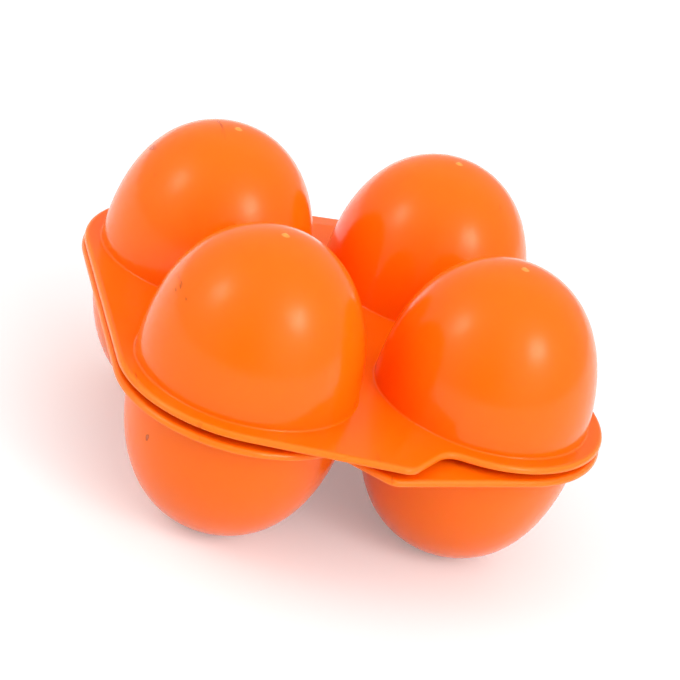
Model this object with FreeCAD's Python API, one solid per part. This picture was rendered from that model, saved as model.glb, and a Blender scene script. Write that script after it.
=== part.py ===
import FreeCAD, Part
import math
import os

# An egg box for hen's eggs: two thin moulded shells, a lid and a base, folded together along a
# flexible hinge at the back. Each egg stands in a base cup, with a lid dome over it.
# Millimetres, +Z up, +X to the right, +Y to the back. The origin is on the surface that the box
# stands on, under the middle of its outline. The lid lies slightly ajar, as it springs open.

# Egg spaces
PITCH_X = 53.6  # between egg axes, side to side
PITCH_Y = 52.3  # between egg axes, front to back
DOME_RADIUS = 24.2  # outside, at the parting face
LID_HEIGHT = 33.9  # from the parting face to the top of a lid dome
BASE_HEIGHT = 34.3  # from the parting face to the foot of a base cup
LID_FULLNESS = 0.85  # weight of the profile's corner: 0.71 is an ellipse, more is squarer
BASE_FULLNESS = 0.92
WALL = 1.2

# Flange round the domes
FLANGE = 1.5  # thickness
LID_MARGIN = 3.7  # from a dome's side to the flange's edge
BASE_MARGIN = 3.9
ROOT_FILLET = 0.4  # where a dome leaves the flange
UPPER_ROUND = 0.72 * FLANGE  # upper edge of either flange in the closed box
LOWER_ROUND = 0.22 * FLANGE
MOUTH_ROUND = 0.2  # mouths of the egg spaces

# Finger tab: the lid's is on the left half of the front edge, the base's on the right half
TAB_SLOPE = 10.0  # degrees, a tab's front edge to the X axis
TAB_RETURN = 43.0  # degrees, a tab's short edge to the X axis
LID_TAB_PAST = 2.4  # from the middle of the box to the tab's corner
BASE_TAB_PAST = 1.2
TAB_CORNER = 3.8  # radius
TAB_VALLEY = 5.0  # radius between the short edge and the next dome's flange

# Folding hinge along the back
CLOSED_GAP = 0.3  # between the parting faces with the lid shut
AJAR = 0.65  # degrees that the lid stands open at rest
FOLD_MARGIN = 8.6  # from a rear dome's side to the axis of the fold
HINGE_INSET = 3.8  # from a rear egg's axis to the end of the hinge
LAND_THICKNESS = 1.1  # flange behind its step, thinned from there towards the fold
LAND_WIDTH = 6.3  # from the step to the fold
WEB_THICKNESS = 0.5

# Closing stud on the base, in a socket on the lid, in the middle of the box
STUD_RADIUS = 2.2
STUD_HEIGHT = 3.0  # above the base's parting face
STUD_TAPER = 0.5  # at the stud's tip
STUD_CLEARANCE = 0.3
SOCKET_WALL = 1.0

# Moulding gates: a pip on top of each lid dome, and a nub in a dimple under each foot
PIP_RADIUS = 0.9  # at its root, in the middle of the wall
PIP_HEIGHT = 0.25
FOOT_RADIUS = 5.0  # flat that a base cup stands on
DIMPLE_RADIUS = 2.0
DIMPLE_DEPTH = 0.3
NUB_RADIUS = 0.9
NUB_HEIGHT = 0.2

# Derived places, in the plane of the flange and about the middle of the egg spaces
HALF_X = PITCH_X / 2
HALF_Y = PITCH_Y / 2
FOLD_AXIS = HALF_Y + DOME_RADIUS + FOLD_MARGIN
STEP_LINE = FOLD_AXIS - LAND_WIDTH
FOLD_RADIUS = CLOSED_GAP / 2
HINGE_LENGTH = PITCH_X - 2 * HINGE_INSET
SOCKET_DEPTH = STUD_HEIGHT + STUD_CLEARANCE
SOCKET_RADIUS = STUD_RADIUS + STUD_CLEARANCE
EGG_AXES = [(x, y) for x in (-HALF_X, HALF_X) for y in (-HALF_Y, HALF_Y)]

UP = FreeCAD.Vector(0, 0, 1)
LEFT = FreeCAD.Vector(-1, 0, 0)
BACK = FreeCAD.Vector(0, 1, 0)
CLOSE = 1e-4  # tolerance for finding an edge by its place


def point(x, y, z=0.0):
    return FreeCAD.Vector(x, y, z)


def direction(degrees):
    turn = math.radians(degrees)
    return point(math.cos(turn), math.sin(turn))


def angle_of(vector):
    return math.degrees(math.atan2(vector.y, vector.x))


def cylinder(radius, low, high):
    return Part.makeCylinder(radius, high - low, point(0, 0, low))


def tab_tip(margin, tab_past):
    """The centre of a finger tab's rounded corner, for a tab on the left half."""
    tab_way = direction(-TAB_SLOPE)
    outward = direction(270 - TAB_SLOPE)
    tab_start = point(-HALF_X, -HALF_Y) + outward * (DOME_RADIUS + margin)
    tip = tab_start + tab_way * ((tab_past - tab_start.x) / tab_way.x)
    cut_back = TAB_CORNER * math.tan(math.radians((TAB_SLOPE + TAB_RETURN) / 2))
    return tip - tab_way * cut_back - outward * TAB_CORNER


def front_reach():
    """How far the longer finger tab stands in front of the middle of the egg spaces."""
    tips = [tab_tip(LID_MARGIN, LID_TAB_PAST), tab_tip(BASE_MARGIN, BASE_TAB_PAST)]
    return TAB_CORNER - min(tip.y for tip in tips)


def flange_arcs(margin, tab_past):
    """The flange's arcs, counterclockwise from above, with the finger tab on the left half.

    Each is (centre, radius, start angle, end angle).
    """
    corner_radius = DOME_RADIUS + margin
    rear_left = point(-HALF_X, HALF_Y)
    front_left = point(-HALF_X, -HALF_Y)
    front_right = point(HALF_X, -HALF_Y)
    rear_right = point(HALF_X, HALF_Y)
    leave = 270 - TAB_SLOPE
    tip_centre = tab_tip(margin, tab_past)
    # The valley's arc touches the tab's short edge and the front right corner's arc
    return_way = direction(TAB_RETURN)
    reach = corner_radius + TAB_VALLEY
    beside = tip_centre + direction(TAB_RETURN - 90) * (TAB_CORNER + TAB_VALLEY) - front_right
    along = beside.dot(return_way)
    run = -along - math.sqrt(along**2 - beside.dot(beside) + reach**2)
    valley_centre = front_right + beside + return_way * run
    meet = angle_of(front_right - valley_centre)
    return [
        (rear_left, corner_radius, 90, 180),
        (front_left, corner_radius, 180, leave),
        (tip_centre, TAB_CORNER, leave, 270 + TAB_RETURN),
        (valley_centre, TAB_VALLEY, 90 + TAB_RETURN, meet),
        (front_right, corner_radius, 180 + meet, 360),
        (rear_right, corner_radius, 0, 90),
    ]


def flange_face(arcs):
    """The flange's outline as a flat face on the parting face."""
    runs = []
    for centre, radius, start, end in arcs:
        angles = (start, (start + end) / 2, end)
        runs.append([centre + direction(angle) * radius for angle in angles])
    edges = []
    for run, following in zip(runs, runs[1:] + runs[:1]):
        edges.append(Part.Arc(*run).toShape())
        if run[2].distanceToPoint(following[0]) > CLOSE:
            edges.append(Part.makeLine(run[2], following[0]))
    return Part.Face(Part.Wire(edges))


def dome(radius, height, fullness):
    """A solid dome on the parting face, upright at its side and level at its top."""
    curve = Part.BezierCurve()
    curve.setPoles([point(radius, 0), point(radius, 0, height), point(0, 0, height)])
    curve.setWeight(2, fullness)
    corners = [point(0, 0, height), point(0, 0), point(radius, 0)]
    profile = Part.Wire([curve.toShape(), Part.makePolygon(corners)])
    return Part.Face(profile).revolve(point(0, 0), UP, 360)


def edges_at(shape, height):
    """Edges that lie flat at a height."""
    return [
        edge
        for edge in shape.Edges
        if abs(edge.BoundBox.ZMin - height) < CLOSE and abs(edge.BoundBox.ZMax - height) < CLOSE
    ]


def rings_at(shape, height, within):
    """Edges that lie flat at a height and near an egg axis, no further from it than within."""
    rings = []
    for edge in edges_at(shape, height):
        spot = edge.valueAt((edge.FirstParameter + edge.LastParameter) / 2)
        away = [spot.distanceToPoint(point(x, y, height)) for x, y in EGG_AXES]
        if min(away) < within:
            rings.append(edge)
    return rings


def hinge_block(places):
    """A solid as long as the hinge, from its corners (y, z) seen from the end."""
    corners = [point(-HINGE_LENGTH / 2, y, z) for y, z in places]
    end_face = Part.Face(Part.makePolygon(corners + corners[:1]))
    return end_face.extrude(point(HINGE_LENGTH, 0))


def flange(arcs, outer_round, parting_round):
    """The flange with its hinge land, on the parting face."""
    plate = flange_face(arcs).extrude(UP * FLANGE)
    plate = plate.makeFillet(outer_round, edges_at(plate, FLANGE))
    plate = plate.makeFillet(parting_round, edges_at(plate, 0))
    notch = [(STEP_LINE, 0), (FOLD_AXIS, 0), (FOLD_AXIS, FLANGE), (STEP_LINE, FLANGE)]
    land = [(STEP_LINE, 0), (FOLD_AXIS, 0), (FOLD_AXIS, WEB_THICKNESS), (STEP_LINE, LAND_THICKNESS)]
    return plate.cut(hinge_block(notch)).fuse(hinge_block(land))


def shell(body, crown, cavity):
    """One half of the box, parting face down at z = 0, from a flange, a solid crown and its hollow."""
    for x, y in EGG_AXES:
        body = body.fuse(crown.translated(point(x, y)))
    body = body.removeSplitter()
    body = body.makeFillet(ROOT_FILLET, rings_at(body, FLANGE, DOME_RADIUS + CLOSE))
    for x, y in EGG_AXES:
        body = body.cut(cavity.translated(point(x, y)))
    return body.makeFillet(MOUTH_ROUND, rings_at(body, 0, DOME_RADIUS))


def in_place(shape):
    """Moves a shape from the closed parting plane to its place above the standing surface."""
    to_middle = (front_reach() - FOLD_AXIS - FOLD_RADIUS - WEB_THICKNESS) / 2
    return shape.translated(point(0, to_middle, BASE_HEIGHT + CLOSED_GAP / 2))


def lid_shell():
    crown = dome(DOME_RADIUS, LID_HEIGHT, LID_FULLNESS)
    pip = dome(PIP_RADIUS, PIP_HEIGHT + WALL / 2, LID_FULLNESS)
    crown = crown.fuse(pip.translated(UP * (LID_HEIGHT - WALL / 2)))
    cavity = dome(DOME_RADIUS - WALL, LID_HEIGHT - WALL, LID_FULLNESS)
    rim = flange(flange_arcs(LID_MARGIN, LID_TAB_PAST), UPPER_ROUND, LOWER_ROUND)
    body = shell(rim, crown, cavity)
    body = body.fuse(cylinder(SOCKET_RADIUS + SOCKET_WALL, 0, SOCKET_DEPTH + SOCKET_WALL))
    body = body.cut(cylinder(SOCKET_RADIUS, 0, SOCKET_DEPTH))
    body.translate(UP * (CLOSED_GAP / 2))
    body.rotate(point(0, FOLD_AXIS), LEFT, AJAR)
    return in_place(body)


def base_shell():
    nose_radius = 2 * BASE_FULLNESS**2 * DOME_RADIUS**2 / BASE_HEIGHT
    rounded_off = FOOT_RADIUS**2 / (2 * nose_radius)
    crown = dome(DOME_RADIUS, BASE_HEIGHT + rounded_off, BASE_FULLNESS)
    crown = crown.cut(cylinder(DOME_RADIUS, BASE_HEIGHT, BASE_HEIGHT + DOME_RADIUS))
    dimple_floor = BASE_HEIGHT - DIMPLE_DEPTH
    crown = crown.cut(cylinder(DIMPLE_RADIUS, dimple_floor, BASE_HEIGHT))
    crown = crown.fuse(cylinder(NUB_RADIUS, dimple_floor, dimple_floor + NUB_HEIGHT))
    cavity = dome(DOME_RADIUS - WALL, BASE_HEIGHT - WALL, BASE_FULLNESS)
    rim = flange(flange_arcs(BASE_MARGIN, BASE_TAB_PAST), LOWER_ROUND, UPPER_ROUND)
    body = shell(rim, crown, cavity)
    stud = cylinder(STUD_RADIUS, -STUD_HEIGHT, FLANGE)
    stud = stud.makeChamfer(STUD_TAPER, edges_at(stud, -STUD_HEIGHT))
    body = body.fuse(stud)
    body.rotate(point(0, 0), BACK, 180)
    body.translate(UP * (-CLOSED_GAP / 2))
    return in_place(body)


def hinge_web():
    """The fold between the two hinge lands, curled about the hinge's axis."""
    left = -HINGE_LENGTH / 2
    right = HINGE_LENGTH / 2
    inner = -FOLD_RADIUS
    outer = inner - WEB_THICKNESS
    places = [(left, inner), (right, inner), (right, outer), (left, outer), (left, inner)]
    corners = [point(x, FOLD_AXIS, z) for x, z in places]
    end_face = Part.Face(Part.makePolygon(corners))
    return in_place(end_face.revolve(point(0, FOLD_AXIS), -LEFT, 180 - AJAR))


os.makedirs("parts", exist_ok=True)
PIECES = {"lid_shell": lid_shell, "base_shell": base_shell, "hinge_web": hinge_web}
for name, make in PIECES.items():
    piece = make().removeSplitter()
    piece.exportStep(f"parts/{name}.step")
    box = piece.BoundBox
    print(name, piece.isValid(), len(piece.Solids), round(piece.Volume, 1), box)
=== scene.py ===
import math

import bmesh
import bpy
from mathutils import Matrix, Vector


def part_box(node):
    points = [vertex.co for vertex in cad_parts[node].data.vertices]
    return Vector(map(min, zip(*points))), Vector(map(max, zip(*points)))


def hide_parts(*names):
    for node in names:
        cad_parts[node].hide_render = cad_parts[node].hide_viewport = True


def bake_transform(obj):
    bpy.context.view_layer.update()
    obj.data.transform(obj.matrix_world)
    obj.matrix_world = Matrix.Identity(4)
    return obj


# The looks of a folding egg box in glossy orange plastic, in metres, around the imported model.

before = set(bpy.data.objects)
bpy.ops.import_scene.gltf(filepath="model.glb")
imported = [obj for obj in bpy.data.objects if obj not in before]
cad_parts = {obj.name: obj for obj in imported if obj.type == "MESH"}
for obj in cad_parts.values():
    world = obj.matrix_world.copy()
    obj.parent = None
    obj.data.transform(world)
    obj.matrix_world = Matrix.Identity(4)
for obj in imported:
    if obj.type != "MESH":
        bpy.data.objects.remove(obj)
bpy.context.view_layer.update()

# Camera: where it stands and how it is turned, with its focal length in pixels of the picture
PICTURE_WIDTH = 680
FOCAL_PIXELS = 2219.5
SENSOR_WIDTH = 36.0  # millimetres
VIEW_AZIMUTH = -20.95  # degrees, to the left of the front
VIEW_ELEVATION = 26.56
VIEW_ROLL = 17.03
VIEW_DISTANCE = 0.5003
VIEW_AIM = Vector((0.00123, -0.00016, 0.03307))
NEAREST_SEEN = VIEW_DISTANCE / 100

# Studio, which the plastic reflects: pale walls with a darker opening in front and another behind, which
# has a paler place low in it, and two lights, each a small bright lobe in a wide one
WHITE = (1.0, 1.0, 1.0, 1.0)
WALL_LIGHT = 0.57  # at the horizon
CEILING_LIGHT = 0.61
WALL_LOBES = (
    # azimuth and elevation in degrees, spread in degrees, strength
    (-28.0, 8.0, 25.0, -0.35),
    (160.0, 30.0, 20.0, -0.22),
    (175.0, 10.0, 16.0, 0.15),
)
LIGHT_LOBES = (
    (33.0, 37.5, 23.0, 1.25),
    (33.0, 37.5, 9.0, 6.6),
    (-88.0, 36.0, 22.0, 1.0),
    (-88.0, 36.0, 9.0, 3.7),
)
# Broad lamps that light the plastic evenly and leave no reflection in it
SOFTBOXES = (
    # azimuth and elevation in degrees, watts
    (20.0, 28.0, 7.2),
    (0.0, 80.0, 4.0),
    (-120.0, 25.0, 5.8),
    (155.0, 32.0, 5.0),
)
SOFTBOX_DISTANCE = 1.5
SOFTBOX_WIDTH = 1.6
FLOOR_RADIUS = 4.0
FLOOR_SIDES = 64
FLOOR_COLOR = (0.75, 0.75, 0.75, 1.0)
FLOOR_LIFT = 0.23  # light that the floor adds for the eye, so that it reads as white

# Plastic: its colour drifts a little, with painted shade that deepens it at the domes' feet and on the
# flange, painted light that lightens it at the flange's thin edge, and a painted highlight that lightens
# it at the gate pips.
# A noise's scale counts its lumps in a metre, and its value lies between 0 and 1.
ORANGE = (0.985, 0.157, 0.003, 1.0)
DEEP_ORANGE = (0.975, 0.149, 0.001, 1.0)
LIT_EDGE_ORANGE = (1.0, 0.33, 0.03, 1.0)
PIP_HIGHLIGHT_YELLOW = (1.0, 0.46, 0.1, 1.0)
MARK_BROWN = (0.5, 0.07, 0.004, 1.0)
DRIFT_SCALE = 35.0
DOME_PAINTED_SHADE = 0.25  # painted shade: how much more orange a dome's top is, and less its foot
LIT_EDGE_SHARE = 0.25  # of the painted light's colour in the flange's edge
LIT_EDGE_START = 0.98  # upright part of a surface's normal, where the painted light on the flange's edge starts to show
LIT_EDGE_FULL = 0.8
PIP_HIGHLIGHT_SHARE = 0.6
REFRACTION = 1.4
GLOSS_TINT = (1.0, 0.95, 0.72, 1.0)
ROUGHNESS = 0.17
SCUFFED_ROUGHNESS = 0.34
GRAIN_SCALE = 900.0
GRAIN_DETAIL = 4.0
GRAIN_START = 0.3  # of the grain's noise
GRAIN_END = 0.7
GRAIN_DEPTH = 0.02  # of roughness, either way
WEAR_SCALE = 60.0
WEAR_START = 0.5  # of the wear's noise
WEAR_END = 0.7
SCUFF_SCALE = 420.0
SCUFF_DETAIL = 3.0
SCUFF_START = 0.66  # of the scuffs' noise
SCUFF_END = 0.76
SCUFF_STRETCH = (1.0, 0.12, 0.4)
SCUFF_TURN = (0.3, 0.2, 0.6)
MARK_START = 0.68  # of the scuffs' noise
MARK_END = 0.705
WAVE_SCALE = 75.0
WAVE_DETAIL = 1.0
WAVE_HEIGHT = 0.00012
PEEL_SCALE = 700.0
PEEL_DETAIL = 2.0
PEEL_HEIGHT = 0.000006
RELIEF_STRENGTH = 0.25
GLOW_SHARE = 0.3  # of the light, which spreads inside the plastic
GLOW_DEPTH = 0.0008
GLOW_REACH = (1.0, 0.4, 0.1)  # of that depth, in red, green and blue

# Egg spaces, by which the plastic's painted shade, painted light and painted highlight are placed
EGG_X = 0.0268  # from the four eggs' middle to an egg's axis
EGG_Y = 0.02615
MIDDLE_Y = -0.000121  # of the four eggs
DOME_REACH = 0.0242  # from an egg's axis to its dome's foot
FLANGE_START = 0.0258  # from an egg's axis, past the dome's foot
FLANGE_SURE = 0.0265
PIP_RADIUS = 0.0011
PIP_LEVEL = 0.06  # above the floor, below the lid's gate pips and above all else near an egg's axis

WEB_THICKNESS = 0.0005
WEB_STEPS = 15  # odd, so that the fold's middle lies between two rows


class Graph:
    """Adds shader nodes to an emptied node tree."""

    def __init__(self, tree):
        self.tree = tree
        tree.nodes.clear()

    def node(self, kind, inputs=(), **settings):
        made = self.tree.nodes.new(kind)
        for name, value in settings.items():
            setattr(made, name, value)
        for key, value in dict(inputs).items():
            if isinstance(value, bpy.types.NodeSocket):
                self.tree.links.new(value, made.inputs[key])
            else:
                made.inputs[key].default_value = value
        return made

    def math(self, operation, *values):
        return self.node("ShaderNodeMath", enumerate(values), operation=operation).outputs[0]

    def ramp(self, value, start, end, low=0.0, high=1.0):
        """Goes smoothly from low to high as the value goes from start to end."""
        inputs = {"Value": value, "From Min": start, "From Max": end, "To Min": low, "To Max": high}
        return self.node("ShaderNodeMapRange", inputs, interpolation_type="SMOOTHSTEP").outputs[0]

    def noise(self, place, scale, detail=2.0):
        inputs = {"Vector": place, "Scale": scale, "Detail": detail}
        return self.node("ShaderNodeTexNoise", inputs).outputs[0]

    def mix(self, share, first, second):
        inputs = {"Factor": share, "A": first, "B": second}
        return self.node("ShaderNodeMix", inputs, data_type="RGBA").outputs["Result"]


def towards(azimuth, elevation):
    """Unit vector to a place round the object: azimuth 0 is the front, and positive is to the right."""
    a = math.radians(azimuth)
    e = math.radians(elevation)
    return Vector((math.sin(a) * math.cos(e), -math.cos(a) * math.cos(e), math.sin(e)))


def lobes(graph, way, light, places):
    """Adds soft round lobes of light, each towards its place, to a node socket."""
    for azimuth, elevation, spread, strength in places:
        beside = graph.node(
            "ShaderNodeVectorMath", {0: way, 1: towards(azimuth, elevation)}, operation="DOT_PRODUCT"
        ).outputs["Value"]
        sharpness = 2 / math.radians(spread) ** 2
        away = graph.math("MULTIPLY", graph.math("SUBTRACT", beside, 1.0), sharpness)
        lobe = graph.math("MULTIPLY", graph.math("EXPONENT", away), strength)
        light = graph.math("ADD", light, lobe)
    return light


def make_studio():
    world = bpy.data.worlds.new("studio")
    world.use_nodes = True
    graph = Graph(world.node_tree)
    way = graph.node("ShaderNodeTexCoord").outputs["Generated"]
    height = graph.node("ShaderNodeSeparateXYZ", {0: way}).outputs["Z"]
    walls = graph.ramp(height, 0.0, 1.0, WALL_LIGHT, CEILING_LIGHT)
    light = lobes(graph, way, walls, WALL_LOBES + LIGHT_LOBES)
    shown = graph.node("ShaderNodeBackground", {"Color": WHITE, "Strength": light}).outputs[0]
    graph.node("ShaderNodeOutputWorld", {"Surface": shown})
    bpy.context.scene.world = world


def make_softbox(azimuth, elevation, power):
    data = bpy.data.lights.new("softbox", "AREA")
    data.shape = "DISK"
    data.size = SOFTBOX_WIDTH
    data.energy = power
    softbox = bpy.data.objects.new("softbox", data)
    bpy.context.scene.collection.objects.link(softbox)
    way = towards(azimuth, elevation)
    softbox.location = way * SOFTBOX_DISTANCE
    softbox.rotation_euler = way.to_track_quat("Z", "Y").to_euler()
    softbox.visible_glossy = False


def make_floor():
    mesh = bpy.data.meshes.new("floor")
    bm = bmesh.new()
    bmesh.ops.create_circle(bm, cap_ends=True, segments=FLOOR_SIDES, radius=FLOOR_RADIUS)
    bm.to_mesh(mesh)
    bm.free()
    floor = bpy.data.objects.new("floor", mesh)
    bpy.context.scene.collection.objects.link(floor)
    material = bpy.data.materials.new("floor")
    material.use_nodes = True
    graph = Graph(material.node_tree)
    plain = graph.node("ShaderNodeBsdfDiffuse", {"Color": FLOOR_COLOR}).outputs[0]
    path = graph.node("ShaderNodeLightPath").outputs
    seen = graph.math("MAXIMUM", path["Is Camera Ray"], path["Is Glossy Ray"])
    seen = graph.math("MAXIMUM", seen, path["Is Transmission Ray"])
    strength = graph.math("MULTIPLY", seen, FLOOR_LIFT)
    lift = graph.node("ShaderNodeEmission", {"Color": WHITE, "Strength": strength}).outputs[0]
    shown = graph.node("ShaderNodeAddShader", {0: plain, 1: lift}).outputs[0]
    graph.node("ShaderNodeOutputMaterial", {"Surface": shown})
    mesh.materials.append(material)


def make_plastic():
    material = bpy.data.materials.new("orange_plastic")
    material.use_nodes = True
    graph = Graph(material.node_tree)
    coordinates = graph.node("ShaderNodeTexCoord").outputs
    place = coordinates["Object"]
    x, y, z = graph.node("ShaderNodeSeparateXYZ", {0: place}).outputs
    facing = graph.node("ShaderNodeSeparateXYZ", {0: coordinates["Normal"]}).outputs["Z"]

    # Distance from the nearest egg's axis
    beside_x = graph.math("SUBTRACT", graph.math("ABSOLUTE", x), EGG_X)
    beside_y = graph.math("SUBTRACT", graph.math("ABSOLUTE", graph.math("SUBTRACT", y, MIDDLE_Y)), EGG_Y)
    squares = graph.math("ADD", graph.math("POWER", beside_x, 2.0), graph.math("POWER", beside_y, 2.0))
    away = graph.math("SQRT", squares)

    # Colour: slow drift from the melt's flow, painted shade at the domes' feet, painted light on the
    # flange's thin edge and a painted highlight on the gate pips
    # Painted shade: deeper orange at a dome's foot and on the flange, lighter towards the dome's top
    painted_dome_shade = graph.ramp(away, DOME_REACH, 0.0, -DOME_PAINTED_SHADE, DOME_PAINTED_SHADE)
    drift_and_painted_shade = graph.math("ADD", graph.noise(place, DRIFT_SCALE), painted_dome_shade)
    color = graph.mix(drift_and_painted_shade, DEEP_ORANGE, ORANGE)
    # Painted light: the flange's rounded edge made lighter and yellower where its faces turn from level
    turned = graph.ramp(graph.math("ABSOLUTE", facing), LIT_EDGE_START, LIT_EDGE_FULL)
    outside = graph.ramp(away, FLANGE_START, FLANGE_SURE)
    lit_edge = graph.math("MULTIPLY", graph.math("MULTIPLY", turned, outside), LIT_EDGE_SHARE)
    color = graph.mix(lit_edge, color, LIT_EDGE_ORANGE)
    # Painted highlight: the gate pips on top of the lid's domes made lighter and yellower
    near_axis = graph.ramp(away, PIP_RADIUS, PIP_RADIUS / 2)
    on_top = graph.math("GREATER_THAN", z, PIP_LEVEL)
    pip_highlight = graph.math("MULTIPLY", graph.math("MULTIPLY", near_axis, on_top), PIP_HIGHLIGHT_SHARE)
    color = graph.mix(pip_highlight, color, PIP_HIGHLIGHT_YELLOW)

    # Wear: sparse scuffs where a stretched noise peaks, and a few dark marks at its highest peaks
    turn_and_stretch = {"Vector": place, "Scale": SCUFF_STRETCH, "Rotation": SCUFF_TURN}
    stretched = graph.node("ShaderNodeMapping", turn_and_stretch).outputs[0]
    scratches = graph.noise(stretched, SCUFF_SCALE, SCUFF_DETAIL)
    worn = graph.ramp(graph.noise(place, WEAR_SCALE), WEAR_START, WEAR_END)
    scuffs = graph.ramp(scratches, SCUFF_START, SCUFF_END)
    marks = graph.math("MULTIPLY", graph.ramp(scratches, MARK_START, MARK_END), worn)
    color = graph.mix(marks, color, MARK_BROWN)

    # Gloss: fine grain, duller on the scuffs
    grain = graph.noise(place, GRAIN_SCALE, GRAIN_DETAIL)
    grain = graph.ramp(grain, GRAIN_START, GRAIN_END, -GRAIN_DEPTH, GRAIN_DEPTH)
    roughness = graph.ramp(graph.math("MULTIPLY", scuffs, worn), 0.0, 1.0, ROUGHNESS, SCUFFED_ROUGHNESS)
    roughness = graph.math("ADD", roughness, grain)

    # Relief: the moulding's faint waviness and a fine orange peel
    waves = graph.noise(place, WAVE_SCALE, WAVE_DETAIL)
    peel = graph.noise(place, PEEL_SCALE, PEEL_DETAIL)
    shape = {"Height": waves, "Strength": RELIEF_STRENGTH, "Distance": WAVE_HEIGHT}
    wavy = graph.node("ShaderNodeBump", shape).outputs[0]
    shape = {"Height": peel, "Strength": RELIEF_STRENGTH, "Distance": PEEL_HEIGHT, "Normal": wavy}
    relief = graph.node("ShaderNodeBump", shape).outputs[0]
    shader = graph.node(
        "ShaderNodeBsdfPrincipled",
        {
            "Base Color": color,
            "Roughness": roughness,
            "Normal": relief,
            "IOR": REFRACTION,
            "Specular Tint": GLOSS_TINT,
            "Subsurface Weight": GLOW_SHARE,
            "Subsurface Radius": GLOW_REACH,
            "Subsurface Scale": GLOW_DEPTH,
        },
    )
    graph.node("ShaderNodeOutputMaterial", {"Surface": shader.outputs[0]})
    return material


def make_hinge_web(plastic):
    """The thin fold, curled from the base's land to the lid's."""
    low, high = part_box("hinge_web")
    outer = (high.z - low.z) / 2
    inner = outer - WEB_THICKNESS
    middle = (high.z + low.z) / 2
    bm = bmesh.new()
    rows = []
    for step in range(WEB_STEPS + 1):
        turn = math.pi * step / WEB_STEPS
        row = []
        for radius, x in ((outer, low.x), (outer, high.x), (inner, high.x), (inner, low.x)):
            place = Vector((x, low.y + radius * math.sin(turn), middle - radius * math.cos(turn)))
            row.append(bm.verts.new(place))
        rows.append(row)
    for row, following in zip(rows, rows[1:]):
        for i in range(len(row)):
            bm.faces.new((row[i], row[i - 1], following[i - 1], following[i]))
    bm.faces.new(rows[0])
    bm.faces.new(rows[-1][::-1])
    bmesh.ops.recalc_face_normals(bm, faces=bm.faces)
    mesh = bpy.data.meshes.new("hinge_fold")
    bm.to_mesh(mesh)
    bm.free()
    mesh.materials.append(plastic)
    web = bpy.data.objects.new("hinge_fold", mesh)
    bpy.context.scene.collection.objects.link(web)
    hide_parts("hinge_web")
    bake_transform(web)


def make_camera():
    back = towards(VIEW_AZIMUTH, VIEW_ELEVATION)
    level = Vector((0, 0, 1)).cross(back).normalized()
    upright = back.cross(level)
    roll = math.radians(VIEW_ROLL)
    right = level * math.cos(roll) + upright * math.sin(roll)
    up = upright * math.cos(roll) - level * math.sin(roll)
    data = bpy.data.cameras.new("camera")
    data.sensor_width = SENSOR_WIDTH
    data.lens = SENSOR_WIDTH * FOCAL_PIXELS / PICTURE_WIDTH
    data.clip_start = NEAREST_SEEN
    camera = bpy.data.objects.new("camera", data)
    bpy.context.scene.collection.objects.link(camera)
    turned = Matrix((right, up, back)).transposed().to_4x4()
    camera.matrix_world = Matrix.Translation(VIEW_AIM + back * VIEW_DISTANCE) @ turned
    bpy.context.scene.camera = camera


bpy.context.scene.view_settings.view_transform = "Standard"
make_camera()
make_studio()
for azimuth, elevation, power in SOFTBOXES:
    make_softbox(azimuth, elevation, power)
make_floor()
plastic = make_plastic()
for name in ("lid_shell", "base_shell"):
    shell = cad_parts[name]
    shell.data.materials.clear()
    shell.data.materials.append(plastic)
make_hinge_web(plastic)
